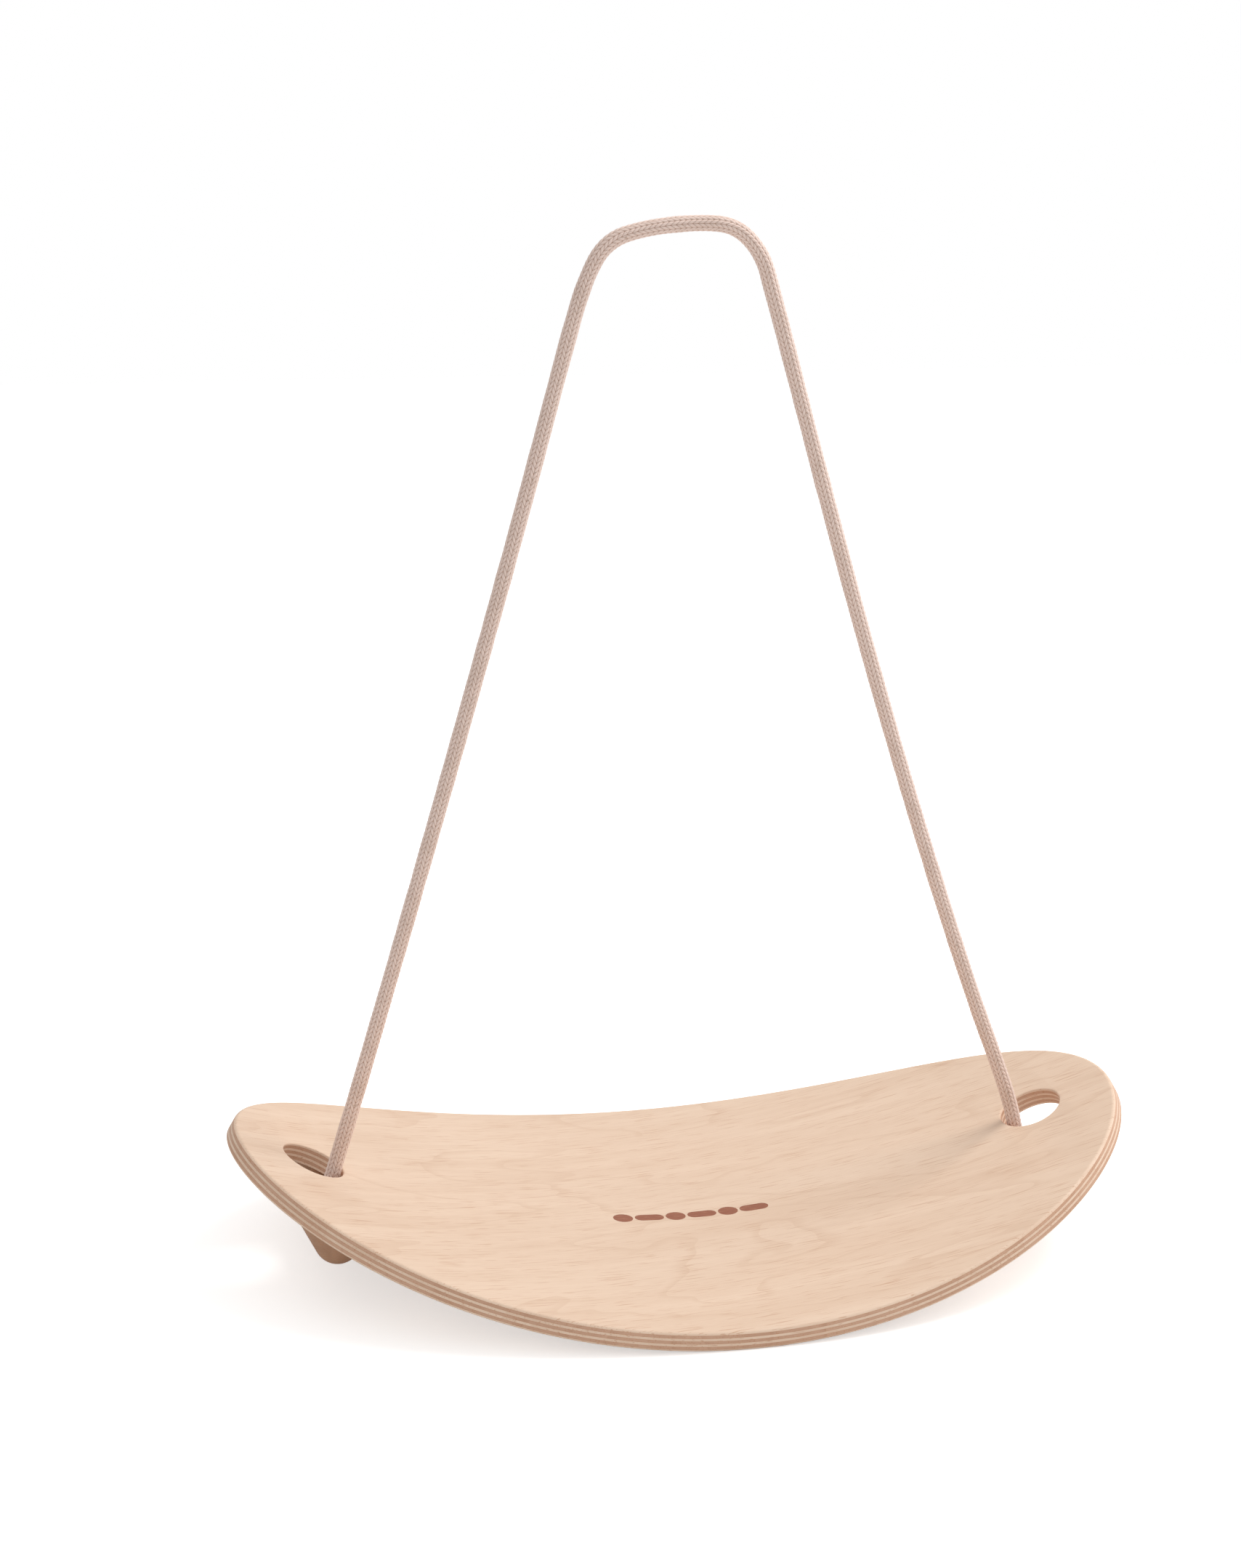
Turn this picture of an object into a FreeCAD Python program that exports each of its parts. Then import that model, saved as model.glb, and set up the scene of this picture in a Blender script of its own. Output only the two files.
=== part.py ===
import FreeCAD, Part
import math
import os

from FreeCAD import Placement, Rotation, Vector

# Rocking seesaw board for a child. A seven-veneer plywood panel, oval when laid flat, is bent along
# its length into a shallow rocker. A rope loop comes up through a round-ended hand hole near each end
# to be held while rocking. Under each hole a turned toggle lies across the gap with the rope pinned in
# it, and four turned feet screwed up into the panel stop it from tipping too far.
#
# Frame: +X along the board, +Y to its rear edge, +Z up, origin on the floor under the middle.

doc = FreeCAD.newDocument("rocking_board")

# ---------------------------------------------------------------------------------- driving sizes (mm)
SIZES = [
    ("board_length", 740.0, "length of the flat panel, end to end"),
    ("board_width", 470.0, "width of the flat panel at its middle"),
    ("board_thickness", 15.0, "all veneers together"),
    ("bend_radius", 690.5, "radius of the hollow upper face"),
    ("edge_round", 2.9, "round-over of the panel's outer edges"),
    ("hole_reach", 302.7, "middle of the panel to the middle of a hand hole, along the upper face"),
    ("hole_length", 50.6, "hand hole, along the board"),
    ("hole_width", 56.6, "hand hole, across the board"),
    ("rim_round", 1.2, "round-over of the hand hole's rims"),
    ("foot_inset", 14.2, "foot axis from the middle of the hand hole on the underside, towards the middle"),
    ("foot_y", 90.0, "foot axis from the middle, across the board"),
    ("foot_height", 28.4, "underside of the panel to the foot's tip, on the foot's axis"),
    ("foot_tip_radius", 18.0, "ball at the foot's tip"),
    ("foot_flank_angle", 26.8, "flank to the foot's axis, degrees"),
    ("screw_radius", 2.25, "shank of the foot screw"),
    ("screw_length", 30.0, "foot screw, head included"),
    ("screw_head_radius", 4.3, "countersunk head of the foot screw"),
    ("screw_grip", 9.0, "how deep the foot screw bites into the panel"),
    ("head_clearance", 0.4, "between the screw's head and the foot's counterbore"),
    ("rope_radius", 6.0, "rope"),
    ("rope_slack", 0.2, "between the rope and the toggle's bore"),
    ("toggle_radius", 11.0, "toggle rod"),
    ("toggle_length", 90.0, "toggle rod, end to end"),
    ("toggle_inset", 14.7, "toggle axis from the middle of the hand hole on the underside, towards the middle"),
    ("toggle_gap", 0.2, "between the toggle and the underside"),
    ("toggle_end_round", 4.0, "round-over of the toggle's ends"),
    ("pin_radius", 1.5, "steel pin through toggle and rope"),
    ("pin_sink", 1.0, "how far each end of the pin lies under the toggle's skin"),
    ("rope_exit_left", 276.8, "rope from the middle where it leaves the left hole"),
    ("rope_exit_right", 279.5, "rope from the middle where it leaves the right hole"),
    ("swing_height", 74.0, "line about which the rope loop swings, above the floor"),
    ("bend_gap", 0.5, "rope tail to rope loop, where the rope bends in the hole"),
]
CLEAR = 5.0  # how far a cutting solid passes the surface it cuts
TAIL_LENGTH_BELOW = 1.0  # rope end past the toggle

sheet = doc.addObject("Spreadsheet::Sheet", "Sizes")
for row, (alias, value, meaning) in enumerate(SIZES, start=1):
    sheet.set(f"A{row}", meaning)
    sheet.set(f"B{row}", str(value))
    sheet.setAlias(f"B{row}", alias)
doc.recompute()


def size(alias):
    """The number that a cell of the sheet holds."""
    return float(getattr(sheet, alias))


# Derived lengths, as expressions on the sheet and as numbers.
UNDER_RADIUS = "(Sizes.bend_radius + Sizes.board_thickness)"
HOLE_ANGLE = "(Sizes.hole_reach / Sizes.bend_radius * 180 / pi)"
HOLE_X = f"({UNDER_RADIUS} * sin({HOLE_ANGLE} * 1 deg))"
FOOT_X = f"({HOLE_X} - Sizes.foot_inset)"
TOGGLE_X = f"({HOLE_X} - Sizes.toggle_inset)"
TOGGLE_RADIUS_OUT = f"({UNDER_RADIUS} + Sizes.toggle_radius + Sizes.toggle_gap)"
TOGGLE_HEIGHT = f"({UNDER_RADIUS} - sqrt({TOGGLE_RADIUS_OUT}^2 - {TOGGLE_X}^2))"
FOOT_TOP = f"({UNDER_RADIUS} - sqrt({UNDER_RADIUS}^2 - {FOOT_X}^2))"
FOOT_TIP = f"({FOOT_TOP} - Sizes.foot_height)"

under_radius = size("bend_radius") + size("board_thickness")
toggle_x = under_radius * math.sin(size("hole_reach") / size("bend_radius")) - size("toggle_inset")
toggle_out = under_radius + size("toggle_radius") + size("toggle_gap")
toggle_height = under_radius - math.sqrt(toggle_out**2 - toggle_x**2)


def bind(thing, **expressions):
    """Bind properties of an object to the sheet, and give the object back."""
    for name, expression in expressions.items():
        thing.setExpression(name.replace("__", "."), expression)
    return thing


def boolean(kind, name, base, tool):
    """A Part::Cut or Part::Common of two objects."""
    result = doc.addObject(f"Part::{kind}", name)
    result.Base = base
    result.Tool = tool
    return result


def gather(name, members):
    """Several objects fused into one."""
    result = doc.addObject("Part::MultiFuse", name)
    result.Shapes = members
    return result


# ------------------------------------------------------------------------------------ the bent panel
ALONG_Y = Rotation(Vector(1, 0, 0), -90) * Rotation(Vector(0, 0, 1), -90)  # seam upwards, off the panel
PANEL_HALF_SPAN = f"(Sizes.board_width / 2 + {4 * CLEAR})"
OVAL_POINTS = 64
OVAL_QUARTERS = 4


def bend_cylinder(name, radius):
    """A full cylinder about the axis of the bend, which lies across the board above it."""
    drum = doc.addObject("Part::Cylinder", name)
    drum.Placement = Placement(Vector(0, 0, 0), ALONG_Y)
    return bind(
        drum,
        Radius=radius,
        Height=f"2 * {PANEL_HALF_SPAN}",
        Placement__Base__y=f"-{PANEL_HALF_SPAN}",
        Placement__Base__z=UNDER_RADIUS,
    )


def flat_oval_on_plane(height):
    """The flat panel's oval, bent to the arc and cast from the bend's axis onto a level plane, in quarters."""
    half_length = size("board_length") / 2
    half_width = size("board_width") / 2
    points = []
    for step in range(OVAL_POINTS):
        turn = 2 * math.pi * step / OVAL_POINTS
        bend = half_length * math.cos(turn) / size("bend_radius")
        points.append(Vector((under_radius - height) * math.tan(bend), half_width * math.sin(turn), height))
    curve = Part.BSplineCurve()
    curve.interpolate(Points=points, PeriodicFlag=True)
    cuts = curve.getKnots()[:: OVAL_POINTS // OVAL_QUARTERS]
    return Part.Wire([curve.toShape(begin, end) for begin, end in zip(cuts, cuts[1:])])


def edge_trim_solid():
    """A solid whose wall runs square through the bent panel along its oval edge."""
    half_bend = size("board_length") / 2 / size("bend_radius")
    panel_rise = under_radius - size("bend_radius") * math.cos(half_bend)
    below = flat_oval_on_plane(-4 * CLEAR)
    above = flat_oval_on_plane(panel_rise + 4 * CLEAR)
    wall = [Part.makeRuledSurface(low, high) for low, high in zip(below.Edges, above.Edges)]
    shell = Part.makeShell(wall + [Part.Face(below), Part.Face(above)])
    shell.sewShape()
    return Part.makeSolid(shell)


trim = doc.addObject("Part::Feature", "edge_trim")
trim.Shape = edge_trim_solid()

slab = boolean(
    "Cut",
    "bent_slab",
    bend_cylinder("underside_drum", UNDER_RADIUS),
    bend_cylinder("upper_face_drum", "Sizes.bend_radius"),
)
trimmed = boolean("Common", "trimmed_panel", slab, trim)


def hand_hole(name, side):
    """A cutter for one hand hole, square to the panel there."""
    oval = doc.addObject("Part::Ellipse", f"{name}_oval")
    oval.Placement = Placement(Vector(0, 0, 0), Rotation(Vector(0, 0, 1), 90))
    bind(
        oval,
        MajorRadius="Sizes.hole_width / 2",
        MinorRadius="Sizes.hole_length / 2",
        Placement__Base__z=f"-(Sizes.bend_radius - {2 * CLEAR})",
    )
    plug = doc.addObject("Part::Extrusion", name)
    plug.Base = oval
    plug.DirMode = "Custom"
    plug.Dir = Vector(0, 0, -1)
    plug.Solid = True
    plug.Placement = Placement(Vector(0, 0, 0), Rotation(Vector(0, 1, 0), 1))
    return bind(
        plug,
        LengthFwd=f"Sizes.board_thickness + {4 * CLEAR}",
        Placement__Base__z=UNDER_RADIUS,
        Placement__Rotation__Angle=f"{-side} * {HOLE_ANGLE}",
    )


holes = gather("hand_holes", [hand_hole("left_hole", -1), hand_hole("right_hole", 1)])
pierced = boolean("Cut", "pierced_panel", trimmed, holes)
doc.recompute()


def from_bend_axis(point):
    """Distance of a point from the axis of the bend."""
    return math.hypot(point.x, point.z - under_radius)


def rounded(name, base, outer, radius):
    """Round the panel's outer edges, or the hand holes' rims, on both of its faces."""
    doc.recompute()
    result = doc.addObject("Part::Fillet", name)
    result.Base = base
    chosen = []
    for number, edge in enumerate(base.Shape.Edges, start=1):
        samples = edge.discretize(7)
        on_face = any(
            all(abs(from_bend_axis(point) - face) < 0.01 for point in samples)
            for face in (size("bend_radius"), under_radius)
        )
        spread = max(abs(point.y) for point in samples)
        if on_face and (spread > size("hole_width")) == outer:
            chosen.append((number, radius, radius))
    result.Edges = chosen
    return result


rimmed = rounded("rimmed_panel", pierced, False, size("rim_round"))
softened_panel = rounded("rounded_panel", rimmed, True, size("edge_round"))

# ------------------------------------------------------------------------------ feet and their screws
CORNERS = [("front_left", -1, -1), ("front_right", 1, -1), ("rear_left", -1, 1), ("rear_right", 1, 1)]
HEAD_HEIGHT = "(Sizes.screw_head_radius - Sizes.screw_radius)"
SCREW_TOP = f"({FOOT_TOP} + Sizes.screw_grip)"
SCREW_BOTTOM = f"({SCREW_TOP} - Sizes.screw_length)"
TIP_LENGTH = 4.0  # pointed end of the screw


def upright(kind, name, side_x, side_y, base_z, **expressions):
    """A Part primitive that stands on a foot's axis with its base at a height."""
    return bind(
        doc.addObject(f"Part::{kind}", name),
        Placement__Base__x=f"{side_x} * {FOOT_X}",
        Placement__Base__y=f"{side_y} * Sizes.foot_y",
        Placement__Base__z=base_z,
        **expressions,
    )


def screw(corner, side_x, side_y):
    """One countersunk wood screw, head down, in a foot's axis."""
    head = upright(
        "Cone", f"screw_head_{corner}", side_x, side_y, SCREW_BOTTOM,
        Radius1="Sizes.screw_head_radius", Radius2="Sizes.screw_radius", Height=HEAD_HEIGHT,
    )
    shank = upright(
        "Cylinder", f"screw_shank_{corner}", side_x, side_y, f"{SCREW_BOTTOM} + {HEAD_HEIGHT}",
        Radius="Sizes.screw_radius", Height=f"Sizes.screw_length - {HEAD_HEIGHT} - {TIP_LENGTH}",
    )
    point = upright(
        "Cone", f"screw_point_{corner}", side_x, side_y, f"{SCREW_TOP} - {TIP_LENGTH}",
        Radius1="Sizes.screw_radius", Radius2="Sizes.screw_radius / 4", Height=f"{TIP_LENGTH}",
    )
    return gather(f"screw_{corner}", [head, shank, point])


screws = {corner: screw(corner, side_x, side_y) for corner, side_x, side_y in CORNERS}
foot_screws = doc.addObject("Part::Compound", "foot_screws")
foot_screws.Links = list(screws.values())
panel = boolean("Cut", "panel", softened_panel, foot_screws)

TIP_CENTRE = f"({FOOT_TIP} + Sizes.foot_tip_radius)"
NECK_RADIUS = "(Sizes.foot_tip_radius * cos(Sizes.foot_flank_angle * 1 deg))"
NECK_HEIGHT = f"({TIP_CENTRE} - Sizes.foot_tip_radius * sin(Sizes.foot_flank_angle * 1 deg))"
FLANK_HEIGHT = f"({FOOT_TOP} + {5 * CLEAR} - {NECK_HEIGHT})"
seat_drum = bend_cylinder("foot_seat_drum", UNDER_RADIUS)


def foot(corner, side_x, side_y):
    """One turned foot: a cone on a ball tip, its top cut to the underside it is screwed to."""
    ball = upright("Sphere", f"foot_ball_{corner}", side_x, side_y, TIP_CENTRE, Radius="Sizes.foot_tip_radius")
    flank = upright(
        "Cone", f"foot_flank_{corner}", side_x, side_y, NECK_HEIGHT,
        Radius1=NECK_RADIUS, Height=FLANK_HEIGHT,
        Radius2=f"{NECK_RADIUS} + {FLANK_HEIGHT} * tan(Sizes.foot_flank_angle * 1 deg)",
    )
    turned = gather(f"turned_{corner}", [ball, flank])
    seated = boolean("Cut", f"seated_{corner}", turned, seat_drum)
    recess = upright(
        "Cylinder", f"recess_{corner}", side_x, side_y, f"{FOOT_TIP} - {CLEAR}",
        Radius="Sizes.screw_head_radius + Sizes.head_clearance", Height=f"{SCREW_BOTTOM} - {FOOT_TIP} + {CLEAR}",
    )
    bored = boolean("Cut", f"bored_{corner}", seated, recess)
    return boolean("Cut", f"foot_{corner}", bored, screws[corner])


parts = [foot(corner, side_x, side_y) for corner, side_x, side_y in CORNERS]
parts.append(foot_screws)

# -------------------------------------------------------------------------------- veneers of the panel
VENEERS = ["top_face", "cross_upper", "long_upper", "core", "long_lower", "cross_lower", "bottom_face"]
reaches = [f"Sizes.bend_radius + Sizes.board_thickness * {n} / {len(VENEERS)}" for n in range(1, len(VENEERS))]
reaches = [f"Sizes.bend_radius - {CLEAR}", *reaches, f"{UNDER_RADIUS} + {CLEAR}"]
drums = [bend_cylinder(f"veneer_drum_{layer}", reach) for layer, reach in enumerate(reaches)]
for layer, name in enumerate(VENEERS):
    ring = boolean("Cut", f"veneer_ring_{layer + 1}", drums[layer + 1], drums[layer])
    parts.append(boolean("Common", f"veneer_{layer + 1}_{name}", panel, ring))

# ------------------------------------------------------------------------- toggles, pins and rope tails
BORE_REACH = 3 * size("toggle_radius")  # half the length of the cutter for the rope's bore


def leaning(thing, side, rope_exit, along):
    """Place an upright primitive on the rope's line in a hole, a distance along it from the toggle's axis."""
    low = Vector(side * toggle_x, 0, toggle_height)
    high = Vector(side * size(rope_exit), 0, size("swing_height"))
    line = (high - low).normalize()
    thing.Placement = Placement(low + line * along, Rotation(Vector(0, 0, 1), line))
    return (high - low).Length


for side, hand, rope_exit in ((-1, "left", "rope_exit_left"), (1, "right", "rope_exit_right")):
    rod = doc.addObject("Part::Cylinder", f"toggle_rod_{hand}")
    rod.Placement = Placement(Vector(0, 0, 0), Rotation(Vector(1, 0, 0), -90))
    bind(
        rod,
        Radius="Sizes.toggle_radius",
        Height="Sizes.toggle_length",
        Placement__Base__x=f"{side} * {TOGGLE_X}",
        Placement__Base__y="-Sizes.toggle_length / 2",
        Placement__Base__z=TOGGLE_HEIGHT,
    )
    doc.recompute()
    softened = doc.addObject("Part::Fillet", f"toggle_softened_{hand}")
    softened.Base = rod
    ends = [n for n, edge in enumerate(rod.Shape.Edges, start=1) if len(edge.Vertexes) == 1]
    softened.Edges = [(n, size("toggle_end_round"), size("toggle_end_round")) for n in ends]

    bore = bind(
        doc.addObject("Part::Cylinder", f"toggle_bore_{hand}"),
        Radius="Sizes.rope_radius + Sizes.rope_slack",
        Height=f"{2 * BORE_REACH}",
    )
    leaning(bore, side, rope_exit, -BORE_REACH)

    pin = doc.addObject("Part::Cylinder", f"toggle_pin_{hand}")
    pin.Placement = Placement(Vector(0, 0, 0), Rotation(Vector(0, 1, 0), 90))
    bind(
        pin,
        Radius="Sizes.pin_radius",
        Height="2 * (Sizes.toggle_radius - Sizes.pin_sink)",
        Placement__Base__x=f"{side} * {TOGGLE_X} - (Sizes.toggle_radius - Sizes.pin_sink)",
        Placement__Base__z=TOGGLE_HEIGHT,
    )
    drill = doc.addObject("Part::Cylinder", f"pin_drill_{hand}")
    drill.Placement = Placement(Vector(0, 0, 0), Rotation(Vector(0, 1, 0), 90))
    bind(
        drill,
        Radius="Sizes.pin_radius",
        Height=f"2 * (Sizes.toggle_radius + {CLEAR})",
        Placement__Base__x=f"{side} * {TOGGLE_X} - (Sizes.toggle_radius + {CLEAR})",
        Placement__Base__z=TOGGLE_HEIGHT,
    )
    roped = boolean("Cut", f"toggle_roped_{hand}", softened, bore)
    toggle = boolean("Cut", f"rope_toggle_{hand}", roped, drill)

    stem = bind(doc.addObject("Part::Cylinder", f"rope_stem_{hand}"), Radius="Sizes.rope_radius")
    below = size("toggle_radius") + TAIL_LENGTH_BELOW
    reach = leaning(stem, side, rope_exit, -below)
    stem.Height = reach + below - size("rope_radius") - size("bend_gap")
    tail = boolean("Cut", f"rope_tail_{hand}", stem, pin)
    parts += [toggle, pin, tail]

# ---------------------------------------------------------------------------------------- the rope loop
# Route of the loop in the plane y = 0, as (x, z): up from the left hole, over the hand's grip, down.
ROPE_ROUTE = [
    (-276.8, 74.0), (-267.0, 105.0), (-245.6, 175.0), (-209.9, 294.0), (-165.2, 446.0),
    (-123.9, 590.0), (-92.2, 706.0), (-78.5, 752.0), (-62.5, 780.5), (-31.5, 790.0),
    (8.0, 793.5), (36.5, 791.0), (56.5, 770.0), (64.5, 742.5), (76.5, 702.0),
    (99.3, 622.0), (139.5, 485.0), (187.5, 333.0), (238.5, 185.0), (268.5, 108.5), (279.5, 74.0),
]
ARC_SHARE = 0.45  # how much of its shorter run an arc takes up


def rounded_route(points):
    """Straight runs through the points, joined by tangent arcs: their edges and the arcs' radii."""
    edges = []
    radii = []
    start = points[0]
    for before, corner, after in zip(points, points[1:], points[2:]):
        back = (before - corner).normalize()
        ahead = (after - corner).normalize()
        half_turn = (math.pi - back.getAngle(ahead)) / 2
        setback = ARC_SHARE * min((before - corner).Length, (after - corner).Length)
        radius = setback / math.tan(half_turn)
        radii.append(radius)
        arc_start = corner + back * setback
        arc_end = corner + ahead * setback
        inward = (back + ahead).normalize()
        middle = corner + inward * (radius / math.cos(half_turn) - radius)
        edges.append(Part.LineSegment(start, arc_start).toShape())
        edges.append(Part.Arc(arc_start, middle, arc_end).toShape())
        start = arc_end
    edges.append(Part.LineSegment(start, points[-1]).toShape())
    return edges, radii


def rope_tube(points, radius):
    """A plain tube along the route, with a ball on each end where the rope bends in its hole."""
    edges, radii = rounded_route(points)
    path = Part.Wire(edges)
    heading = (points[1] - points[0]).normalize()
    section = Part.Wire([Part.Circle(points[0], heading, radius).toShape()])
    tube = path.makePipeShell([section], True, False)
    expected = math.pi * radius**2 * path.Length
    print("rope arcs, mm:", " ".join(f"{r:.0f}" for r in radii))
    print(f"rope loop {path.Length:.1f} mm, volume {tube.Volume:.0f} of {expected:.0f} expected")
    for end in (points[0], points[-1]):
        tube = tube.fuse(Part.makeSphere(radius, end))
    return tube


route = [Vector(x, 0, z) for x, z in ROPE_ROUTE]
rope_loop = doc.addObject("Part::Feature", "rope_loop")
rope_loop.Shape = rope_tube(route, size("rope_radius"))
parts.append(rope_loop)

# --------------------------------------------------------------------------------------- check and write
for thing in parts:
    thing.Label = thing.Name
doc.recompute()
faults = [o.Name for o in doc.Objects if "Invalid" in o.State or "Error" in o.State]
for thing in parts:
    if thing.Shape.isNull() or not thing.Shape.isValid() or not thing.Shape.Solids:
        faults.append(f"{thing.Label} has no valid solid")
if faults:
    raise RuntimeError("not built: " + ", ".join(faults))

os.makedirs("parts", exist_ok=True)
for thing in parts:
    thing.Shape.exportStep(f"parts/{thing.Label}.step")
    print(f"{thing.Label}: {len(thing.Shape.Solids)} solid, {thing.Shape.Volume / 1000:.1f} cm3")
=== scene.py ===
import logging
import math
from dataclasses import dataclass
from enum import Enum

import bmesh
import bpy
import numpy as np
from mathutils import Matrix, Vector


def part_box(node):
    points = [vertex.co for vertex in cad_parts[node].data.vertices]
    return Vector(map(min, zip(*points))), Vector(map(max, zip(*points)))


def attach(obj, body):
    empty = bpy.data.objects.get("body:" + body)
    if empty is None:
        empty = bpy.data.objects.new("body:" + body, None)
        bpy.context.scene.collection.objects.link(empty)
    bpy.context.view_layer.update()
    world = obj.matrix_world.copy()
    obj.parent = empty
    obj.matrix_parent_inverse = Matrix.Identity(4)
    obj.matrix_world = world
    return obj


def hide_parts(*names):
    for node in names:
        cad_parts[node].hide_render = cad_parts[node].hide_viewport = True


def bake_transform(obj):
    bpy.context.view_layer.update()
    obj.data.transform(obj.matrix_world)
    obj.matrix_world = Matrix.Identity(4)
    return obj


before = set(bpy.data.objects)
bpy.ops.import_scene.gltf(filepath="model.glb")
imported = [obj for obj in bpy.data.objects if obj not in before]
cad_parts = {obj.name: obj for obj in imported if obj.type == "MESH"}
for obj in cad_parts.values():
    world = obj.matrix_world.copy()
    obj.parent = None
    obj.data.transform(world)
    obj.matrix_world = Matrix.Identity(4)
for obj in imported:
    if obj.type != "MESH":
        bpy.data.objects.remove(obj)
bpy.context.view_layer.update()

Socket = bpy.types.NodeSocket
Value = float | tuple | Socket

logging.basicConfig(level=logging.INFO, format="%(message)s")
log = logging.getLogger("rocking_board")

# Sizes in metres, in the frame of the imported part: +X along the board, +Z up, floor at z = 0.
PANEL_THICKNESS = 0.015
BEND_RADIUS = 0.6905
UNDER_RADIUS = BEND_RADIUS + PANEL_THICKNESS
VENEERS = (
    "veneer_1_top_face",
    "veneer_2_cross_upper",
    "veneer_3_long_upper",
    "veneer_4_core",
    "veneer_5_long_lower",
    "veneer_6_cross_lower",
    "veneer_7_bottom_face",
)
ROPE_RADIUS = 0.006
BRAID_COLUMNS = 12
BRAID_LEAN = 1.0  # how many stitches a strand climbs as it crosses its column
BRAID_ALONG_POWER = 2.4  # how squarely a stitch falls away along the rope
BRAID_AROUND_POWER = 3.0  # and around it
FOOT_X = 0.2853


class Grain(Enum):
    """Which way a piece of wood's fibres run."""

    ALONG = "along"
    ACROSS = "across"


class Side(Enum):
    """An end of the board, as the sign of its x."""

    LEFT = -1
    RIGHT = 1


# ---- modelling
def only(obj: bpy.types.Object) -> None:
    """Select one object alone and make it the active one.

    Args:
        obj: The object that the next operator acts on.
    """
    if bpy.context.object and bpy.context.object.mode != "OBJECT":
        bpy.ops.object.mode_set(mode="OBJECT")
    bpy.ops.object.select_all(action="DESELECT")
    obj.select_set(True)
    bpy.context.view_layer.objects.active = obj


def settle(obj: bpy.types.Object, name: str) -> bpy.types.Object:
    """Put an object's place into its mesh and give it its name.

    Args:
        obj: The finished object.
        name: The piece's name.

    Returns:
        The same object.
    """
    only(obj)
    bpy.ops.object.transform_apply(location=True, rotation=True, scale=True)
    obj.name = name
    obj.data.name = name
    return obj


def combine(obj: bpy.types.Object, tool: bpy.types.Object, operation: str, keep_tool: bool = False) -> None:
    """Apply a boolean of two meshes to the first.

    Args:
        obj: The mesh that is changed.
        tool: The mesh that cuts it or is kept in common with it.
        operation: DIFFERENCE, INTERSECT or UNION.
        keep_tool: True leaves the tool for another use.
    """
    only(obj)
    modifier = obj.modifiers.new("combine", "BOOLEAN")
    modifier.operation = operation
    modifier.object = tool
    modifier.solver = "EXACT"
    bpy.ops.object.modifier_apply(modifier=modifier.name)
    if not keep_tool:
        bpy.data.objects.remove(tool, do_unlink=True)


def recalculated(obj: bpy.types.Object) -> None:
    """Merge doubles and turn every face of a closed mesh outwards.

    Args:
        obj: The mesh to clean.
    """
    only(obj)
    bpy.ops.object.mode_set(mode="EDIT")
    bpy.ops.mesh.select_all(action="SELECT")
    bpy.ops.mesh.remove_doubles(threshold=1e-6)
    bpy.ops.mesh.normals_make_consistent(inside=False)
    bpy.ops.object.mode_set(mode="OBJECT")


def smooth_by_angle(obj: bpy.types.Object, degrees: float) -> None:
    """Shade an object smooth, with edges sharper than an angle kept sharp.

    Args:
        obj: The object to shade.
        degrees: The angle.
    """
    only(obj)
    bpy.ops.object.shade_smooth_by_angle(angle=math.radians(degrees))


def round_ring_edges(obj: bpy.types.Object, axis: int, offset: float) -> None:
    """Round a flat-ended body's edges that lie square to an axis.

    Args:
        obj: The body.
        axis: 0, 1 or 2 for X, Y or Z.
        offset: How far the round reaches from the edge.
    """
    only(obj)
    bpy.ops.object.mode_set(mode="EDIT")
    bpy.ops.mesh.select_mode(type="EDGE")
    bpy.ops.mesh.select_all(action="DESELECT")
    net = bmesh.from_edit_mesh(obj.data)
    for edge in net.edges:
        if abs(edge.verts[0].co[axis] - edge.verts[1].co[axis]) < 1e-6:
            edge.select_set(True)
    bmesh.update_edit_mesh(obj.data)
    bpy.ops.mesh.bevel(offset=offset, segments=6, affect="EDGES", profile=0.5)
    bpy.ops.mesh.select_mode(type="VERT")
    bpy.ops.object.mode_set(mode="OBJECT")


def bent(points: np.ndarray) -> np.ndarray:
    """Bend points of the flat panel to the rocker's arc.

    Args:
        points: Rows of x along the flat panel, y across it and z above its upper face.

    Returns:
        The same points on the bent panel.
    """
    turn = points[:, 0] / BEND_RADIUS
    reach = BEND_RADIUS - points[:, 2]
    return np.column_stack((reach * np.sin(turn), points[:, 1], UNDER_RADIUS - reach * np.cos(turn)))


def coordinates(mesh: bpy.types.Mesh) -> np.ndarray:
    """A mesh's points, as rows.

    Args:
        mesh: The mesh to read.

    Returns:
        An array of n rows of three.
    """
    flat = np.empty(len(mesh.vertices) * 3)
    mesh.vertices.foreach_get("co", flat)
    return flat.reshape(-1, 3)


def bend_mesh(obj: bpy.types.Object) -> None:
    """Bend a flat piece of the panel, and keep its flat place in an attribute that its finish reads.

    Args:
        obj: A piece made lying flat, its upper face at z = 0.
    """
    mesh = obj.data
    flat = coordinates(mesh)
    laid = mesh.attributes.new("flat", "FLOAT_VECTOR", "POINT")
    laid.data.foreach_set("vector", flat.astype(np.float32).ravel())
    mesh.vertices.foreach_set("co", bent(flat).ravel())
    mesh.update()


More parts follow.
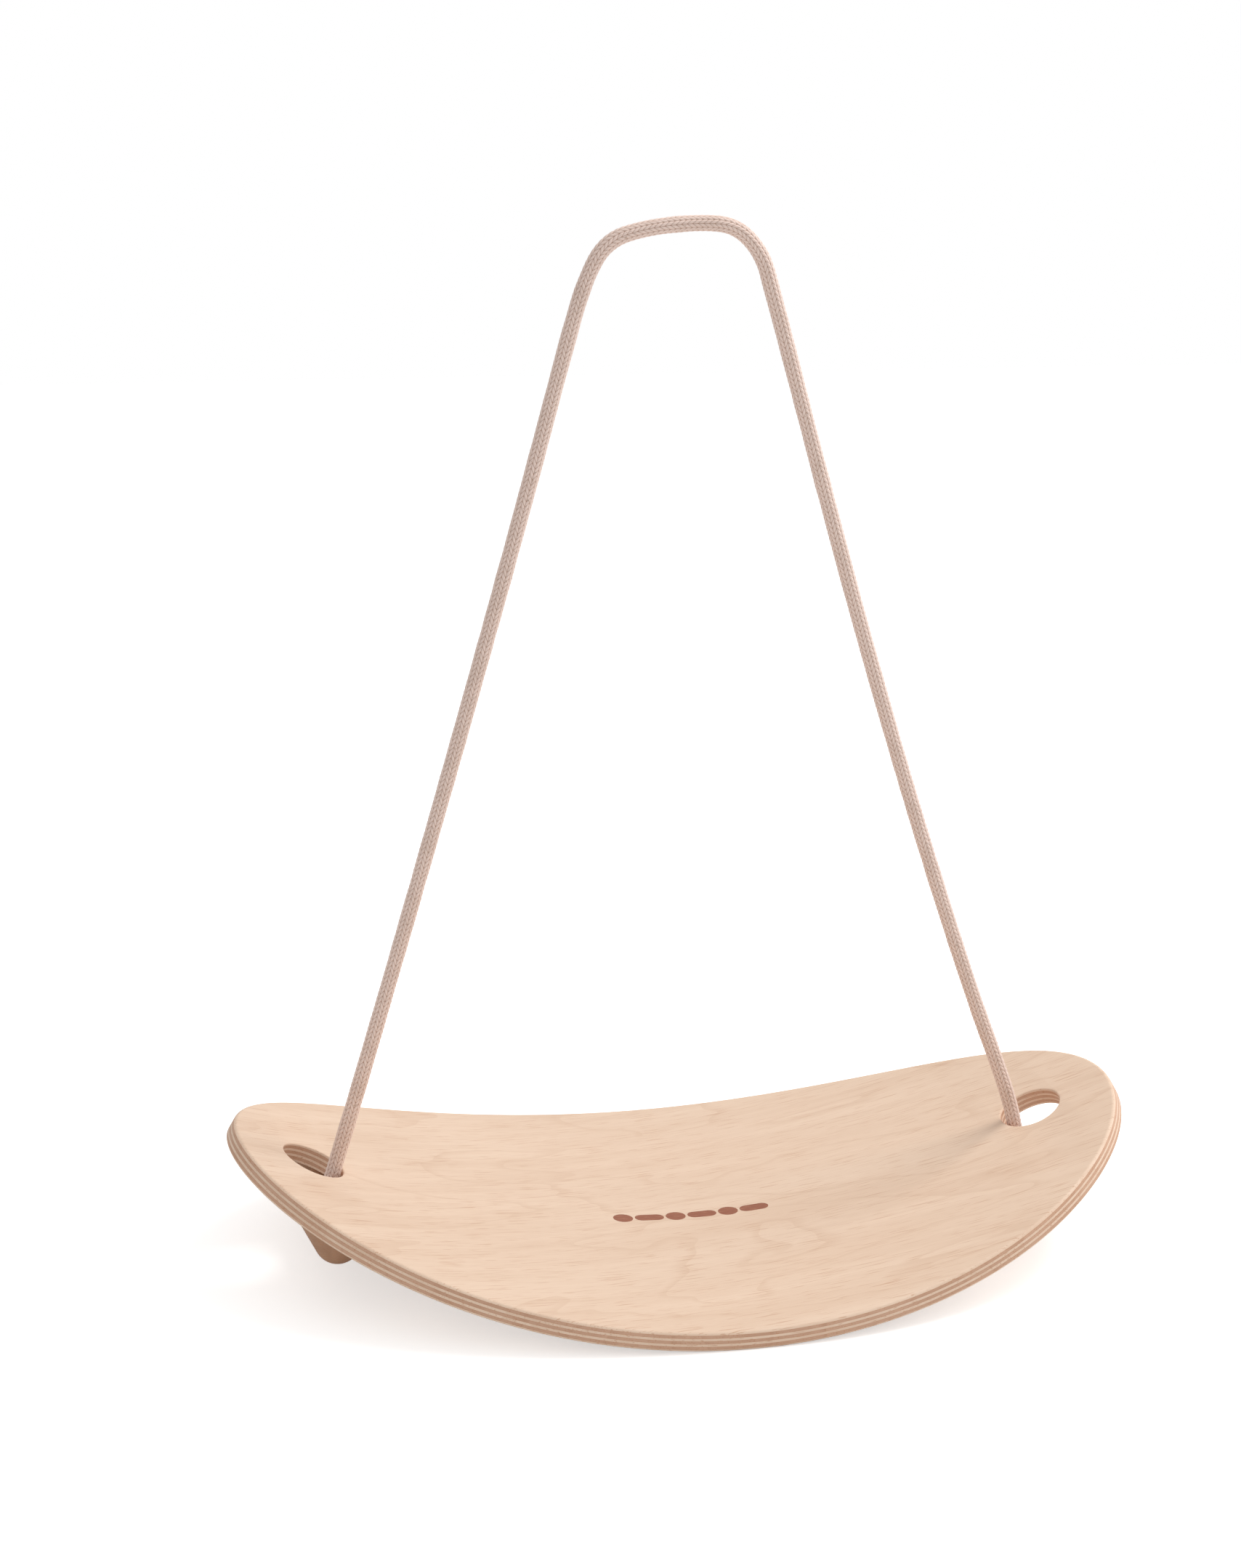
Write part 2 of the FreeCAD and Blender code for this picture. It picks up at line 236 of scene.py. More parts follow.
# ---- node graphs
@dataclass
class Graph:
    """A short way to write a node tree."""

    tree: bpy.types.NodeTree

    def add(self, kind: str, inputs: dict | None = None, **settings) -> bpy.types.Node:
        """Add a node.

        Args:
            kind: The node's type name, without ShaderNode.
            inputs: Socket name or number to a value or to another node's output.
            settings: Properties of the node.

        Returns:
            The new node.
        """
        node = self.tree.nodes.new(kind if kind.startswith("Node") else f"ShaderNode{kind}")
        for key, value in settings.items():
            setattr(node, key, value)
        self.fill(node, inputs or {})
        return node

    def fill(self, node: bpy.types.Node, inputs: dict) -> None:
        """Link or set a node's inputs.

        Args:
            node: The node.
            inputs: Socket name or number to a value or to another node's output.
        """
        for key, value in inputs.items():
            if isinstance(value, Socket):
                self.tree.links.new(value, node.inputs[key])
            else:
                node.inputs[key].default_value = value

    def maths(self, operation: str, first: Value, second: Value = 0.0, third: Value = 0.0) -> Socket:
        """Add a Math node.

        Args:
            operation: Its operation.
            first: Its first value or socket.
            second: Its second value or socket.
            third: Its third value or socket.

        Returns:
            Its output socket.
        """
        return self.add("Math", {0: first, 1: second, 2: third}, operation=operation).outputs[0]

    def spread(
        self, value: Value, low: Value, high: Value, to_low: float = 0.0, to_high: float = 1.0
    ) -> Socket:
        """Map a range of a value to another, smoothly and clamped.

        Args:
            value: The socket to map.
            low: Value or socket that gives to_low.
            high: Value or socket that gives to_high.
            to_low: Result at low.
            to_high: Result at high.

        Returns:
            The mapped socket.
        """
        ranges = {"From Min": low, "From Max": high, "To Min": to_low, "To Max": to_high}
        node = self.add("MapRange", {"Value": value, **ranges}, interpolation_type="SMOOTHSTEP")
        return node.outputs[0]

    def dome(self, place: Value, power: float) -> Socket:
        """Height of a dome that is 1 at a place of 0 and 0 at a half to either side.

        Args:
            place: The socket that gives the place.
            power: How squarely the dome falls away.

        Returns:
            The height's socket.
        """
        away = self.maths("ABSOLUTE", self.maths("MULTIPLY", place, 2.0))
        return self.maths("SUBTRACT", 1.0, self.maths("POWER", away, power))

    def tint(self, share: Value, first: Value, second: Value, blend: str = "MIX") -> Socket:
        """Mix two colours.

        Args:
            share: How much of the second colour, a value or a socket.
            first: A colour or a socket.
            second: A colour or a socket.
            blend: The mix's blend type.

        Returns:
            The mixed colour's socket.
        """
        node = self.add("Mix", {0: share, 6: first, 7: second}, data_type="RGBA", blend_type=blend)
        return node.outputs[2]


def new_material(name: str) -> tuple[bpy.types.Material, Graph, bpy.types.Node]:
    """Start a material.

    Args:
        name: The material's name.

    Returns:
        The material, a Graph on its tree and its Principled BSDF.
    """
    made = bpy.data.materials.new(name)
    made.use_nodes = True
    return made, Graph(made.node_tree), made.node_tree.nodes["Principled BSDF"]


def node_group(name: str, inputs: dict[str, tuple[str, object]], outputs: dict[str, str]) -> tuple:
    """Start a shader node group with named sockets.

    Args:
        name: The group's name.
        inputs: Socket name to socket type and default.
        outputs: Socket name to socket type.

    Returns:
        The group's tree, a Graph on it, its input node and its output node.
    """
    tree = bpy.data.node_groups.new(name, "ShaderNodeTree")
    for key, (kind, default) in inputs.items():
        socket = tree.interface.new_socket(key, in_out="INPUT", socket_type=f"NodeSocket{kind}")
        if default is not None:
            socket.default_value = default
    for key, kind in outputs.items():
        tree.interface.new_socket(key, in_out="OUTPUT", socket_type=f"NodeSocket{kind}")
    graph = Graph(tree)
    return tree, graph, graph.add("NodeGroupInput"), graph.add("NodeGroupOutput")


def wood_grain_group() -> bpy.types.NodeTree:
    """Build the group that every wooden piece takes its figure, fibres and pores from.

    Returns:
        The group. Its Vector runs in metres, with the fibres along X.
    """
    inputs = {"Vector": ("Vector", None), "Seed": ("Float", 0.0), "Pore Size": ("Float", 1.0)}
    outputs = {"Figure": "Float", "Fibre": "Float", "Pores": "Float", "Rings": "Float", "Height": "Float"}
    tree, graph, given, result = node_group("wood_grain", inputs, outputs)
    offset = graph.add("CombineXYZ", {0: given.outputs["Seed"], 1: given.outputs["Seed"]}).outputs[0]
    place = graph.add("VectorMath", {0: given.outputs["Vector"], 1: offset}, operation="ADD").outputs[0]

    def noise(
        stretch: tuple, scale: float, detail: float, roughness: float, distortion: float = 0.0
    ) -> Socket:
        """A noise drawn out along the fibres.

        Args:
            stretch: Scale along each axis.
            scale: The noise's own scale, per metre.
            detail: Octaves.
            roughness: Share of each finer octave.
            distortion: How much it is warped.

        Returns:
            The noise's value socket.
        """
        drawn = graph.add("VectorMath", {0: place, 1: stretch}, operation="MULTIPLY").outputs[0]
        settings = {"Vector": drawn, "Scale": scale, "Detail": detail, "Roughness": roughness}
        return graph.add("TexNoise", {**settings, "Distortion": distortion}).outputs[0]

    broad = noise((0.16, 1.0, 1.0), 16.0, 3.0, 0.55, 0.6)
    bands = noise((0.05, 1.0, 1.0), 70.0, 4.0, 0.6, 0.9)
    figure = graph.maths("MULTIPLY_ADD", bands, 0.45, graph.maths("MULTIPLY", broad, 0.55))
    fibre = noise((0.035, 1.0, 1.0), 1500.0, 3.0, 0.6)
    dashes = noise((0.034, 1.0, 1.0), 900.0, 2.0, 0.55)
    patches = noise((0.3, 1.0, 1.0), 45.0, 2.0, 0.5)
    limit = graph.maths("MULTIPLY_ADD", patches, -0.16, 0.675)
    over = graph.maths("SUBTRACT", dashes, limit)
    pores = graph.spread(over, 0.0, graph.maths("MULTIPLY", given.outputs["Pore Size"], 0.07))
    swell = noise((0.42, 1.0, 1.0), 6.5, 3.0, 0.45, 0.4)
    growth = graph.maths("FRACT", graph.maths("MULTIPLY", swell, 9.0))
    rings = graph.spread(growth, 0.80, 0.985)
    rings = graph.maths("MULTIPLY", rings, graph.spread(growth, 0.985, 1.0, 1.0, 0.0))
    height = graph.maths("SUBTRACT", graph.maths("MULTIPLY", fibre, 0.4), pores)
    sockets = {"Figure": graph.spread(figure, 0.36, 0.64), "Fibre": graph.spread(fibre, 0.3, 0.7)}
    graph.fill(result, {**sockets, "Pores": pores, "Rings": rings, "Height": height})
    return tree


@dataclass(frozen=True)
class WoodFinish:
    """Sanded, matt-lacquered wood.

    Attributes:
        name: The material's name.
        light: Colour between the fibres, linear.
        dark: Colour of the figure's dark bands.
        pore: Colour of the pores.
        grain: Which way the fibres run.
        seed: Where in the grain the piece is cut from, in metres.
        figure_share: How strongly the figure shows.
        fibre_share: How strongly single fibres show.
        ring_share: How strongly the growth rings show.
        pore_share: How strongly the pores show.
        laid_flat: True on the panel, whose grain was straight before it was bent.
        glue_lines: True darkens the wood next to a veneer's glue lines.
        roughness: The lacquer's roughness.
        drift: How far the grain runs off the board's length, per unit of length.
        sweep: How quickly it bends away from straight, per metre.
    """

    name: str
    light: tuple
    dark: tuple
    pore: tuple = (0.47, 0.195, 0.075, 1.0)
    grain: Grain = Grain.ALONG
    seed: float = 0.0
    figure_share: float = 0.42
    fibre_share: float = 0.16
    ring_share: float = 0.38
    pore_share: float = 0.42
    laid_flat: bool = False
    glue_lines: bool = False
    roughness: float = 0.52
    drift: float = 0.16
    sweep: float = 0.85

    def material(self, group: bpy.types.NodeTree) -> bpy.types.Material:
        """Build the material.

        Args:
            group: The shared wood_grain group.

        Returns:
            The material.
        """
        made, graph, shader = new_material(self.name)
        if self.laid_flat:
            place = graph.add("Attribute", attribute_name="flat").outputs["Vector"]
            lines = self.crooked(graph, place)
        else:
            place = graph.add("TexCoord").outputs["Object"]
            lines = place
        turn = (0.0, 0.0, math.pi / 2) if self.grain is Grain.ACROSS else (0.0, 0.0, 0.0)
        mapped = graph.add("Mapping", {"Vector": lines, "Rotation": turn}).outputs[0]
        grain = graph.add("Group", node_tree=group)
        graph.fill(grain, {"Vector": mapped, "Seed": self.seed})
        figure = graph.maths("MULTIPLY", grain.outputs["Figure"], self.figure_share)
        colour = graph.tint(figure, self.light, self.dark)
        fibres = graph.spread(grain.outputs["Fibre"], 0.0, 1.0, 0.0, self.fibre_share)
        colour = graph.tint(fibres, colour, self.dark)
        rings = graph.maths("MULTIPLY", grain.outputs["Rings"], self.ring_share)
        colour = graph.tint(rings, colour, self.dark)
        pores = graph.maths("MULTIPLY", grain.outputs["Pores"], self.pore_share)
        colour = graph.tint(pores, colour, self.pore)
        if self.glue_lines:
            colour = self.with_glue_lines(graph, place, colour)
        rough = graph.spread(grain.outputs["Fibre"], 0.0, 1.0, self.roughness - 0.05, self.roughness + 0.06)
        bump = graph.add("Bump", {"Height": grain.outputs["Height"], "Strength": 0.05, "Distance": 0.0003})
        graph.fill(shader, {"Base Color": colour, "Roughness": rough, "Normal": bump.outputs[0]})
        shader.inputs["Specular IOR Level"].default_value = 0.35
        return made

    def crooked(self, graph: Graph, place: Socket) -> Socket:
        """Let the veneer's grain run a little off the board's length and sweep round towards its ends.

        Args:
            graph: The material's graph.
            place: The flat place of a point.

        Returns:
            The place, measured along and across the grain.
        """
        split = graph.add("SeparateXYZ", {0: place}).outputs
        sweep = graph.maths("MULTIPLY", graph.maths("MULTIPLY", split[0], split[0]), self.sweep)
        drift = graph.maths("MULTIPLY_ADD", split[0], -self.drift, sweep)
        across = graph.maths("ADD", split[1], drift)
        return graph.add("CombineXYZ", {0: split[0], 1: across, 2: split[2]}).outputs[0]

    def with_glue_lines(self, graph: Graph, place: Socket, colour: Socket) -> Socket:
        """Darken the colour close to where two veneers meet.

        Args:
            graph: The material's graph.
            place: The flat place of a point.
            colour: The colour so far.

        Returns:
            The darkened colour.
        """
        depth = graph.add("SeparateXYZ", {0: place}).outputs[2]
        layers = graph.maths("MULTIPLY", depth, -len(VENEERS) / PANEL_THICKNESS)
        nearest = graph.maths("ABSOLUTE", graph.maths("SUBTRACT", layers, graph.maths("ROUND", layers)))
        inside = graph.spread(layers, 0.6, 0.9)
        below = graph.spread(layers, len(VENEERS) - 0.9, len(VENEERS) - 0.6, 1.0, 0.0)
        line = graph.maths("MULTIPLY", graph.spread(nearest, 0.03, 0.10, 0.55, 0.0), inside)
        return graph.tint(graph.maths("MULTIPLY", line, below), colour, self.pore)


@dataclass(frozen=True)
class RopeFinish:
    """Braided undyed cotton.

    Attributes:
        name: The material's name.
        crown: Colour on the strands' crowns.
        painted_gap_shade: Painted shade down between the strands, much darker than the cotton itself.
        fleck: Colour of the odd seed fleck in the cotton.
        yarns: How many yarns lie side by side in a stitch.
    """

    name: str = "braided_cotton"
    crown: tuple = (0.94, 0.755, 0.67, 1.0)
    # The gap colour is painted shade between the strands, not a colour of the cotton.
    painted_gap_shade: tuple = (0.48, 0.30, 0.225, 1.0)
    fleck: tuple = (0.42, 0.29, 0.21, 1.0)
    yarns: int = 3

    def material(self) -> bpy.types.Material:
        """Build the material.

        Returns:
            The material.
        """
        made, graph, shader = new_material(self.name)
        stitch, phase = self.stitches(graph)
        place = graph.add("TexCoord").outputs["Object"]
        yarn = graph.add("TexNoise", {"Vector": place, "Scale": 2600.0, "Detail": 3.0}).outputs[0]
        blotch = graph.add("TexNoise", {"Vector": place, "Scale": 60.0, "Detail": 2.0}).outputs[0]
        flecks = graph.add("TexNoise", {"Vector": place, "Scale": 420.0, "Detail": 1.0}).outputs[0]
        twist = graph.maths("SINE", graph.maths("MULTIPLY", phase, self.yarns * 2 * math.pi))
        ply = graph.maths("MULTIPLY_ADD", twist, 0.5, 0.5)
        # Painted shade: the gaps between stitches and the grooves of the yarns' twist are darkened towards
        # the gap colour; the yarn noise adds uneven tone in that same colour.
        colour = graph.tint(graph.spread(stitch, 0.0, 0.42), self.painted_gap_shade, self.crown)
        colour = graph.tint(graph.maths("MULTIPLY", ply, 0.10), colour, self.painted_gap_shade)
        colour = graph.tint(graph.spread(yarn, 0.4, 0.7, 0.0, 0.15), colour, self.painted_gap_shade)
        colour = graph.tint(graph.spread(blotch, 0.45, 0.7, 0.0, 0.12), colour, self.fleck)
        colour = graph.tint(graph.spread(flecks, 0.70, 0.74, 0.0, 0.5), colour, self.fleck)
        rough = graph.spread(yarn, 0.3, 0.7, 0.82, 0.95)
        height = graph.maths("MULTIPLY_ADD", ply, 0.10, graph.maths("MULTIPLY_ADD", yarn, 0.16, stitch))
        bump = graph.add("Bump", {"Height": height, "Strength": 0.4, "Distance": 0.0005})
        graph.fill(shader, {"Base Color": colour, "Roughness": rough, "Normal": bump.outputs[0]})
        graph.fill(shader, {"Sheen Weight": 0.25, "Sheen Roughness": 0.5, "Specular IOR Level": 0.15})
        return made

    def stitches(self, graph: Graph) -> tuple:
        """The braid's stitches, from the map that runs around and along the rope.

        Args:
            graph: The material's graph.

        Returns:
            How high a point stands on its stitch, 0 to 1, and its place across the stitch.
        """
        braid = graph.add("SeparateXYZ", {0: graph.add("UVMap", uv_map="braid").outputs[0]}).outputs
        column = graph.maths("MULTIPLY", braid[0], float(BRAID_COLUMNS))
        number = graph.maths("FLOOR", graph.maths("ADD", column, 1e-4))
        across = graph.maths("SUBTRACT", graph.maths("SUBTRACT", column, number), 0.5)
        odd = graph.maths("MODULO", number, 2.0)
        lean = graph.maths("MULTIPLY_ADD", odd, -2.0, 1.0)
        along = graph.maths("MULTIPLY_ADD", graph.maths("MULTIPLY", lean, across), BRAID_LEAN, braid[1])
        phase = graph.maths("SUBTRACT", graph.maths("FRACT", along), 0.5)
        body = graph.dome(phase, BRAID_ALONG_POWER)
        return graph.maths("MULTIPLY", body, graph.dome(across, BRAID_AROUND_POWER)), phase


@dataclass(frozen=True)
class SteelFinish:
    """Zinc-plated steel, lightly brushed."""

    name: str = "zinc_steel"
    colour: tuple = (0.62, 0.62, 0.60, 1.0)
    dull: tuple = (0.42, 0.42, 0.42, 1.0)

    def material(self) -> bpy.types.Material:
        """Build the material.

        Returns:
            The material.
        """
        made, graph, shader = new_material(self.name)
        place = graph.add("TexCoord").outputs["Object"]
        haze = graph.add("TexNoise", {"Vector": place, "Scale": 700.0, "Detail": 3.0}).outputs[0]
        colour = graph.tint(haze, self.colour, self.dull)
        rough = graph.spread(haze, 0.3, 0.7, 0.28, 0.5)
        graph.fill(shader, {"Base Color": colour, "Roughness": rough, "Metallic": 1.0})
        return made


@dataclass(frozen=True)
class PrintFinish:
    """Brown ink rubbed a little by use."""

    name: str = "brown_print"
    ink: tuple = (0.30, 0.095, 0.045, 1.0)
    worn: tuple = (0.45, 0.20, 0.11, 1.0)

    def material(self) -> bpy.types.Material:
        """Build the material.

        Returns:
            The material.
        """
        made, graph, shader = new_material(self.name)
        place = graph.add("Attribute", attribute_name="flat").outputs["Vector"]
        drawn = graph.add("VectorMath", {0: place, 1: (0.1, 1.0, 1.0)}, operation="MULTIPLY").outputs[0]
        rub = graph.add("TexNoise", {"Vector": drawn, "Scale": 900.0, "Detail": 3.0}).outputs[0]
        colour = graph.tint(graph.spread(rub, 0.5, 0.75), self.ink, self.worn)
        graph.fill(shader, {"Base Color": colour, "Roughness": graph.spread(rub, 0.3, 0.7, 0.5, 0.65)})
        return made


def dress(obj: bpy.types.Object, material: bpy.types.Material) -> None:
    """Give a piece one material.

    Args:
        obj: The piece.
        material: Its finish.
    """
    obj.data.materials.clear()
    obj.data.materials.append(material)


# ---- the panel
@dataclass
class BentPanel:
    """The seven-veneer panel, made flat, cut into its veneers and bent."""

    half_length: float = 0.370
    half_width: float = 0.235
    edge_round: float = 0.0029
    hole_reach: float = 0.3027
    hole_half_length: float = 0.0253
    hole_half_width: float = 0.0283
    rim_round: float = 0.0012
    rim_steps: int = 4
    oval_points: int = 224
    hole_points: int = 72
    cutter_margin: float = 0.004
    layer_margin: float = 0.002
    bend_pitch: float = 0.0075
    bend_offset: float = 0.0002  # keeps a cut off the outline's own points
    shade_degrees: float = 32

    def blank(self) -> bpy.types.Object:
        """The flat oval panel with its edges rounded and its hand holes cut.

        Returns:
            The blank, its upper face at z = 0.
        """
        bpy.ops.object.select_all(action="DESELECT")
        bpy.ops.mesh.primitive_circle_add(vertices=self.oval_points, radius=1, fill_type="NGON")
        panel = bpy.context.object
        panel.scale = (self.half_length, self.half_width, 1)
        settle(panel, "flat_panel")
        bpy.ops.object.mode_set(mode="EDIT")
        bpy.ops.mesh.select_all(action="SELECT")
        bpy.ops.mesh.extrude_region_move(TRANSFORM_OT_translate={"value": (0, 0, -PANEL_THICKNESS)})
        bpy.ops.object.mode_set(mode="OBJECT")
        recalculated(panel)
        round_ring_edges(panel, axis=2, offset=self.edge_round)
        for side in Side:
            combine(panel, self.hole_cutter(side), "DIFFERENCE")
        return panel

    def hole_cutter(self, side: Side) -> bpy.types.Object:
        """A plug lofted to the shape of a hand hole, flared where the rims are rounded.

        Args:
            side: Which end of the board.

        Returns:
            The plug.
        """
        upper = [(self.cutter_margin, self.rim_round)]
        upper += [(-z_drop, flare) for z_drop, flare in self.quarter()]
        lower = [(-PANEL_THICKNESS + z_drop, flare) for z_drop, flare in reversed(self.quarter())]
        profile = upper + lower + [(-PANEL_THICKNESS - self.cutter_margin, self.rim_round)]
        bpy.ops.object.select_all(action="DESELECT")
        bpy.ops.mesh.primitive_circle_add(vertices=self.hole_points, radius=1, fill_type="NGON")
        circle = bpy.context.object
        ring = coordinates(circle.data)[:, :2]
        bpy.data.objects.remove(circle, do_unlink=True)
        rings = []
        for height, flare in profile:
            oval = ring * (self.hole_half_length + flare, self.hole_half_width + flare)
            rings.append(np.column_stack((oval, np.full(len(ring), height))))
        points = np.vstack(rings) + (side.value * self.hole_reach, 0, 0)
        return lofted(f"hole_cutter_{side.name.lower()}", points, len(ring))

    def quarter(self) -> list[tuple[float, float]]:
        """The quarter round of a hole's rim.

        Returns:
            Pairs of depth under the face and flare past the hole, from the face down.
        """
        turns = [math.pi / 2 * step / self.rim_steps for step in range(self.rim_steps + 1)]
        return [(self.rim_round * (1 - math.cos(t)), self.rim_round * (1 - math.sin(t))) for t in turns]

    def layer(self, number: int) -> bpy.types.Object:
        """The flat slice of space that holds one veneer.

        Args:
            number: 0 for the top veneer.

        Returns:
            A box.
        """
        ply = PANEL_THICKNESS / len(VENEERS)
        top = -number * ply if number else self.layer_margin
        last = number == len(VENEERS) - 1
        bottom = -PANEL_THICKNESS - self.layer_margin if last else -(number + 1) * ply
        bpy.ops.object.select_all(action="DESELECT")
        bpy.ops.mesh.primitive_cube_add(size=1, location=(0, 0, (top + bottom) / 2))
        box = bpy.context.object
        box.scale = (3 * self.half_length, 3 * self.half_width, top - bottom)
        return settle(box, "layer")

    def build(self, finishes: dict[Grain, bpy.types.Material]) -> None:
        """Make every veneer and put it in place of its node.

        Args:
            finishes: The veneers' materials, by the way their grain runs.
        """
        blank = self.blank()
        for number, node in enumerate(VENEERS):
            veneer = bpy.data.objects.new(f"{node}_board", blank.data.copy())
            bpy.context.collection.objects.link(veneer)
            combine(veneer, self.layer(number), "INTERSECT")
            self.cut_for_bending(veneer)
            bend_mesh(veneer)
            smooth_by_angle(veneer, self.shade_degrees)
            grain = Grain.ALONG if number % 2 == 0 else Grain.ACROSS
            dress(veneer, finishes[grain])
            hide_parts(node)
            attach(veneer, "board")
            log.info("%s: %d points", veneer.name, len(veneer.data.vertices))
        bpy.data.objects.remove(blank, do_unlink=True)

    def cut_for_bending(self, veneer: bpy.types.Object) -> None:
        """Cut a flat veneer across its length, so that it can take the bend.

        Args:
            veneer: The flat veneer.
        """
        only(veneer)
        bpy.ops.object.mode_set(mode="EDIT")
        count = int(self.half_length / self.bend_pitch)
        for step in range(-count, count + 1):
            bpy.ops.mesh.select_all(action="SELECT")
            place = step * self.bend_pitch + self.bend_offset
            bpy.ops.mesh.bisect(plane_co=(place, 0, 0), plane_no=(1, 0, 0))
        bpy.ops.object.mode_set(mode="OBJECT")


def lofted(name: str, points: np.ndarray, around: int) -> bpy.types.Object:
    """Make a closed body directly from computed rings of points, its faces outwards.

    Args:
        name: The body's name.
        points: The rings' points, one ring after another.
        around: How many points a ring has.

    Returns:
        The body.
    """
    count = len(points) // around
    faces = []
    for ring in range(count - 1):
        for step in range(around):
            right = (step + 1) % around
            base = ring * around
            faces.append((base + step, base + right, base + around + right, base + around + step))
    faces.append(tuple(reversed(range(around))))
    faces.append(tuple(range((count - 1) * around, count * around)))
    mesh = bpy.data.meshes.new(name)
    mesh.from_pydata([tuple(p) for p in points], [], faces)
    body = bpy.data.objects.new(name, mesh)
    bpy.context.collection.objects.link(body)
    recalculated(body)
    return body


# ---- feet and toggles
@dataclass
class TurnedFoot:
    """One foot of turned form, its top on the underside; its rings are computed, not spun."""

    corner: str
    x: float
    y: float
    tip_height: float
    tip_radius: float = 0.018
    flank_degrees: float = 26.8
    recess_radius: float = 0.0047
    recess_top: float = 0.0395
    lip_turn: float = 0.03  # angle from the recess's wall to where the ball starts
    lip_height: float = 0.0005
    steps: int = 64
    ball_steps: int = 12
    flank_shares: tuple = (0.35, 0.7, 1.0)
    flank_rounds: int = 12
    shade_degrees: float = 40

    def profile(self) -> list[tuple[float, float]]:
        """The half section, from the recess's top over the ball tip to the neck.

        Returns:
            Pairs of radius and height.
        """
        centre = self.tip_height + self.tip_radius
        first = math.asin(self.recess_radius / self.tip_radius) + self.lip_turn
        last = math.radians(90 - self.flank_degrees)
        points = [(self.recess_radius, self.recess_top)]
        rim = centre - self.tip_radius * math.cos(first)
        points.append((self.recess_radius, rim + self.lip_height))
        for step in range(self.ball_steps + 1):
            turn = first + (last - first) * step / self.ball_steps
            points.append((self.tip_radius * math.sin(turn), centre - self.tip_radius * math.cos(turn)))
        return points

    def build(self, material: bpy.types.Material) -> bpy.types.Object:
        """Loft rings through the section, run the flank up to the underside and close both ends.

        Args:
            material: The wood's finish.

        Returns:
            The foot.
        """
        section = self.profile()
        turns = [2 * math.pi * step / self.steps for step in range(self.steps)]
        around = [(math.cos(turn), math.sin(turn)) for turn in turns]
        points = [(radius * c, radius * s, height) for radius, height in section for c, s in around]
        for share in self.flank_shares:
            points += [self.flank(c, s, *section[-1], share) for c, s in around]
        points = np.array(points) + (self.x, self.y, 0)
        foot = lofted(f"foot_{self.corner}_turned", points, self.steps)
        smooth_by_angle(foot, self.shade_degrees)
        dress(foot, material)
        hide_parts(f"foot_{self.corner}")
        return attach(foot, "board")

    def flank(self, c: float, s: float, radius: float, height: float, share: float) -> tuple:
        """A point on the flank, a share of the way from the neck to the underside.

        Args:
            c: Cosine of the turn.
            s: Sine of the turn.
            radius: The neck's radius.
            height: The neck's height.
            share: 0 at the neck, 1 on the underside.

        Returns:
            The point.
        """
        slope = math.tan(math.radians(self.flank_degrees))
        top = height
        for _ in range(self.flank_rounds):
            reach = radius + (top - height) * slope
            across = self.x + reach * c
            top = UNDER_RADIUS - math.sqrt(UNDER_RADIUS**2 - across**2)
        level = height + (top - height) * share
        reach = radius + (level - height) * slope
        return reach * c, reach * s, level


@dataclass
class RopeToggle:
    """A turned rod that lies across a hand hole under the board, with the rope pinned in it."""

    side: Side
    radius: float = 0.011
    end_round: float = 0.004
    bore_radius: float = 0.0062
    pin_radius: float = 0.00155
    around: int = 64
    drill_points: int = 40
    drill_reach: float = 5.0  # a drill's length, in radii of the rod
    shade_degrees: float = 35

    def build(self, material: bpy.types.Material, rope_line: tuple[Vector, Vector]) -> bpy.types.Object:
        """Shape the rod, soften its ends and bore it for the rope and the pin.

        Args:
            material: The wood's finish.
            rope_line: Two points on the rope's line through the rod.

        Returns:
            The toggle.
        """
        node = f"rope_toggle_{self.side.name.lower()}"
        low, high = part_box(node)
        middle = (Vector(low) + Vector(high)) / 2
        length = high[1] - low[1]
        bpy.ops.object.select_all(action="DESELECT")
        bpy.ops.mesh.primitive_cylinder_add(
            vertices=self.around, radius=self.radius, depth=length, location=middle,
            rotation=(math.pi / 2, 0, 0),
        )
        rod = settle(bpy.context.object, f"{node}_turned")
        round_ring_edges(rod, axis=1, offset=self.end_round)
        line = rope_line[1] - rope_line[0]
        combine(rod, self.drill(middle, line, self.bore_radius), "DIFFERENCE")
        combine(rod, self.drill(middle, Vector((1, 0, 0)), self.pin_radius), "DIFFERENCE")
        smooth_by_angle(rod, self.shade_degrees)
        dress(rod, material)
        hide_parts(node)
        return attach(rod, "board")

    def drill(self, middle: Vector, line: Vector, radius: float) -> bpy.types.Object:
        """A cylinder that bores the rod.

        Args:
            middle: A point on its axis.
            line: Its direction.
            radius: Its radius.

        Returns:
            The cylinder.
        """
        turn = line.to_track_quat("Z", "Y").to_euler()
        bpy.ops.object.select_all(action="DESELECT")
        bpy.ops.mesh.primitive_cylinder_add(
            vertices=self.drill_points, radius=radius, depth=self.drill_reach * self.radius,
            location=middle, rotation=turn,
        )
        return settle(bpy.context.object, "drill")


